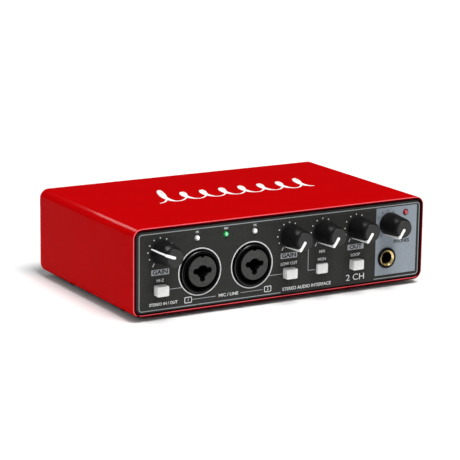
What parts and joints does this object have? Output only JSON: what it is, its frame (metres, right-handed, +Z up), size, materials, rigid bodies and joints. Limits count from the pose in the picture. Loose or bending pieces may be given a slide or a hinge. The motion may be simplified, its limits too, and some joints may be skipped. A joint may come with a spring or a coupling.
{
  "type": "audio interface",
  "caption": "Desktop audio interface: red rounded metal sleeve, graphite front panel with turning knobs, push buttons, combination input sockets, LEDs and a headphone socket.",
  "frame": {"origin": "under the middle of the whole object's box, on the surface that the feet stand on", "axes": "+X to the right seen from the front, +Y from the front panel to the rear panel, +Z up"},
  "size_m": [0.177, 0.1284, 0.0485],
  "materials": {
    "sleeve_paint": "smooth satin-gloss red paint",
    "graphite_panel": "fine-textured graphite paint with a silver field and light printing",
    "black_plastic": "satin moulded black",
    "white_plastic": "glossy white",
    "dark_grey_plastic": "satin dark grey",
    "gold": "polished gold plating",
    "steel": "satin zinc-plated steel",
    "dark_nut": "black-coated metal",
    "board": "green solder mask",
    "ribbon": "grey ribbon cable",
    "rubber": "soft black rubber",
    "clear_lens": "clear white LED lens",
    "green_lens": "green LED lens",
    "red_lens": "red LED lens",
    "capacitor_sleeve": "dark blue shrink sleeve"
  },
  "bodies": {
    "chassis": {"case_sleeve": "sleeve_paint", "front_panel": "graphite_panel", "rear_panel": "graphite_panel", "rear_screw_1": "steel", "rear_screw_2": "steel", "rear_screw_3": "steel", "rear_screw_4": "steel", "foot_front_left": "rubber", "foot_front_right": "rubber", "foot_rear_left": "rubber", "foot_rear_right": "rubber", "pot_body_gain_1": "dark_grey_plastic", "pot_body_gain_2": "dark_grey_plastic", "pot_body_mix": "dark_grey_plastic", "pot_body_output": "dark_grey_plastic", "pot_body_phones": "dark_grey_plastic", "switch_body_hi_z": "dark_grey_plastic", "switch_body_low_cut": "dark_grey_plastic", "switch_body_monitor": "dark_grey_plastic", "switch_body_loopback": "dark_grey_plastic", "led_peak_1": "clear_lens", "led_phantom": "green_lens", "led_peak_2": "clear_lens", "led_power": "red_lens", "combo_housing_1": "black_plastic", "combo_insert_1": "dark_grey_plastic", "combo_housing_2": "black_plastic", "combo_insert_2": "dark_grey_plastic", "phones_jack_body": "black_plastic", "phones_bushing": "gold", "phones_nut": "dark_nut", "output_jack_left": "black_plastic", "output_nut_left": "steel", "output_jack_right": "black_plastic", "output_nut_right": "steel", "usb_port": "steel", "phantom_switch_body": "steel", "main_board": "board", "control_board": "board", "ribbon_cable": "ribbon", "codec_chip": "black_plastic", "usb_chip": "black_plastic", "power_capacitor_1": "capacitor_sleeve", "power_capacitor_2": "capacitor_sleeve"},
    "knob_gain_1": {"knob_gain_1": "black_plastic", "pot_shaft_gain_1": "steel"},
    "knob_gain_2": {"knob_gain_2": "black_plastic", "pot_shaft_gain_2": "steel"},
    "knob_mix": {"knob_mix": "black_plastic", "pot_shaft_mix": "steel"},
    "knob_output": {"knob_output": "black_plastic", "pot_shaft_output": "steel"},
    "knob_phones": {"knob_phones": "black_plastic", "pot_shaft_phones": "steel"},
    "button_hi_z": {"button_hi_z": "white_plastic"},
    "button_low_cut": {"button_low_cut": "white_plastic"},
    "button_monitor": {"button_monitor": "white_plastic"},
    "button_loopback": {"button_loopback": "white_plastic"},
    "phantom_switch": {"phantom_switch_lever": "black_plastic"}
  },
  "joints": [
    {"name": "gain_1_turn", "type": "hinge", "parent": "chassis", "child": "knob_gain_1", "pos_m": [-0.073, -0.055, 0.0357], "axis": [0, 1, 0], "range_deg": [-80, 220]},
    {"name": "gain_2_turn", "type": "hinge", "parent": "chassis", "child": "knob_gain_2", "pos_m": [0.0033, -0.055, 0.0357], "axis": [0, 1, 0], "range_deg": [-4, 296]},
    {"name": "mix_turn", "type": "hinge", "parent": "chassis", "child": "knob_mix", "pos_m": [0.0239, -0.055, 0.0357], "axis": [0, 1, 0], "range_deg": [-4, 296]},
    {"name": "output_turn", "type": "hinge", "parent": "chassis", "child": "knob_output", "pos_m": [0.0451, -0.055, 0.0357], "axis": [0, 1, 0], "range_deg": [-4, 296]},
    {"name": "phones_turn", "type": "hinge", "parent": "chassis", "child": "knob_phones", "pos_m": [0.0654, -0.055, 0.0357], "axis": [0, 1, 0], "range_deg": [-4, 296]},
    {"name": "hi_z_press", "type": "slide", "parent": "chassis", "child": "button_hi_z", "axis": [0, 1, 0], "range_m": [0, 0.003], "stiffness_N_per_m": 400},
    {"name": "low_cut_press", "type": "slide", "parent": "chassis", "child": "button_low_cut", "axis": [0, 1, 0], "range_m": [0, 0.003], "stiffness_N_per_m": 400},
    {"name": "monitor_press", "type": "slide", "parent": "chassis", "child": "button_monitor", "axis": [0, 1, 0], "range_m": [-0.0026, 0.0004], "stiffness_N_per_m": 400},
    {"name": "loopback_press", "type": "slide", "parent": "chassis", "child": "button_loopback", "axis": [0, 1, 0], "range_m": [0, 0.003], "stiffness_N_per_m": 400},
    {"name": "phantom_slide", "type": "slide", "parent": "chassis", "child": "phantom_switch", "axis": [1, 0, 0], "range_m": [0, 0.004]}
  ]
}
